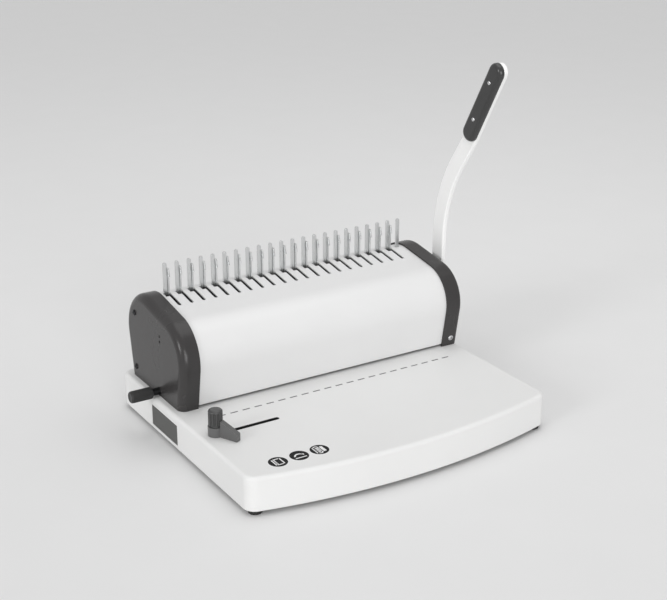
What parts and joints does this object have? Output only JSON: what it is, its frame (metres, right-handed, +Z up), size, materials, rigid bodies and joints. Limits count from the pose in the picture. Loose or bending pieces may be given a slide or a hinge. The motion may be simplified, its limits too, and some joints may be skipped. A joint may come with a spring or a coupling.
{
  "type": "comb binding machine",
  "caption": "Table-top comb binding machine: flat base with side stop and chip tray, punching drum with comb fingers and hooks, and a side handle that punches and opens the comb.",
  "frame": {"origin": "bottom centre of the whole object's box, on the plane under the feet", "axes": "+X to the user's right, +Y to the back, +Z up"},
  "size_m": [0.412, 0.316, 0.3759],
  "materials": {
    "base_plastic": "light grey moulded, fine texture",
    "cover_paint": "white powder coat, satin",
    "handle_paint": "white powder coat",
    "cap_plastic": "dark grey-black, semi-gloss",
    "grip_plastic": "black moulded",
    "tray_plastic": "dark grey moulded",
    "knob_plastic": "black moulded",
    "stop_plastic": "dark grey moulded",
    "foot_rubber": "black",
    "finger_steel": "bright, ground edges",
    "bright_steel": "zinc plated",
    "black_screw": "blackened",
    "machine_steel": "machined",
    "sheet_steel": "zinc plated sheet",
    "post_plastic": "moulded",
    "bush_brass": "plain"
  },
  "bodies": {
    "base": {"base_posts": "post_plastic", "base_shell": "base_plastic", "bottom_plate": "sheet_steel", "cap_screws": "black_screw", "comb_fingers": "finger_steel", "die_plate": "machine_steel", "die_spacers": "machine_steel", "drum_cover": "cover_paint", "end_cap_left": "cap_plastic", "end_cap_right": "cap_plastic", "finger_bar": "machine_steel", "foot_screws": "bright_steel", "frame_bolts": "bright_steel", "front_tie_rod": "machine_steel", "punch_guide": "machine_steel", "rear_cover": "cover_paint", "rear_tie_rod": "machine_steel", "return_springs": "machine_steel", "rubber_feet": "foot_rubber", "shaft_bushes": "bush_brass", "side_frame_left": "sheet_steel", "side_frame_right": "sheet_steel", "slot_liner": "knob_plastic", "spring_studs": "machine_steel", "tray_runners": "sheet_steel"},
    "handle": {"main_shaft": "machine_steel", "shaft_clip": "bright_steel", "lift_cams": "machine_steel", "drive_pinions": "machine_steel", "handle_bar": "handle_paint", "grip_scale": "grip_plastic", "grip_rivets": "bright_steel", "handle_spacer": "bright_steel", "handle_washer": "bright_steel", "handle_bolt": "bright_steel"},
    "punch": {"punch_bar": "machine_steel", "punch_pins": "machine_steel"},
    "comb_opener": {"hook_carriage": "machine_steel", "carriage_racks": "machine_steel", "comb_hooks": "finger_steel"},
    "margin_dial": {"margin_shaft": "machine_steel", "margin_knob": "knob_plastic", "margin_cams": "machine_steel"},
    "paper_gauge": {"back_gauge": "machine_steel"},
    "paper_stop": {"side_stop": "stop_plastic", "stop_bolt": "bright_steel", "stop_shoe": "bright_steel"},
    "clamp_knob": {"stop_knob": "stop_plastic"},
    "tray": {"chip_tray": "tray_plastic", "tray_front": "tray_plastic"}
  },
  "joints": [
    {"name": "handle_swing", "type": "hinge", "parent": "base", "child": "handle", "pos_m": [0, 0.076, 0.093], "axis": [1, 0, 0], "range_deg": [0, 75], "stiffness_Nm_per_rad": 2, "springref_deg": -17.19},
    {"name": "punch_slide", "type": "slide", "parent": "base", "child": "punch", "axis": [0, 0, -1], "range_m": [-0.0001, 0.0121], "deforming": ["return_springs"]},
    {"name": "hook_slide", "type": "slide", "parent": "base", "child": "comb_opener", "axis": [0, -1, 0], "range_m": [-0.0001, 0.0217]},
    {"name": "margin_turn", "type": "hinge", "parent": "base", "child": "margin_dial", "pos_m": [0, 0.076, 0.0463], "axis": [1, 0, 0], "range_deg": [-2, 92]},
    {"name": "gauge_slide", "type": "slide", "parent": "base", "child": "paper_gauge", "axis": [0, -1, 0], "range_m": [0, 0.003]},
    {"name": "stop_slide", "type": "slide", "parent": "base", "child": "paper_stop", "axis": [1, 0, 0], "range_m": [0, 0.07]},
    {"name": "knob_turn", "type": "hinge", "parent": "paper_stop", "child": "clamp_knob", "pos_m": [-0.165, -0.0375, 0.06], "axis": [0, 0, 1], "continuous": true},
    {"name": "tray_slide", "type": "slide", "parent": "base", "child": "tray", "axis": [-1, 0, 0], "range_m": [0, 0.28]}
  ],
  "couplings": [
    {"joint": "punch_slide", "follows": "handle_swing", "m_per_rad": 0.0091673},
    {"joint": "hook_slide", "follows": "handle_swing", "m_per_rad": 0.0165},
    {"joint": "margin_turn", "follows": "gauge_slide", "rad_per_m": 523.6}
  ]
}
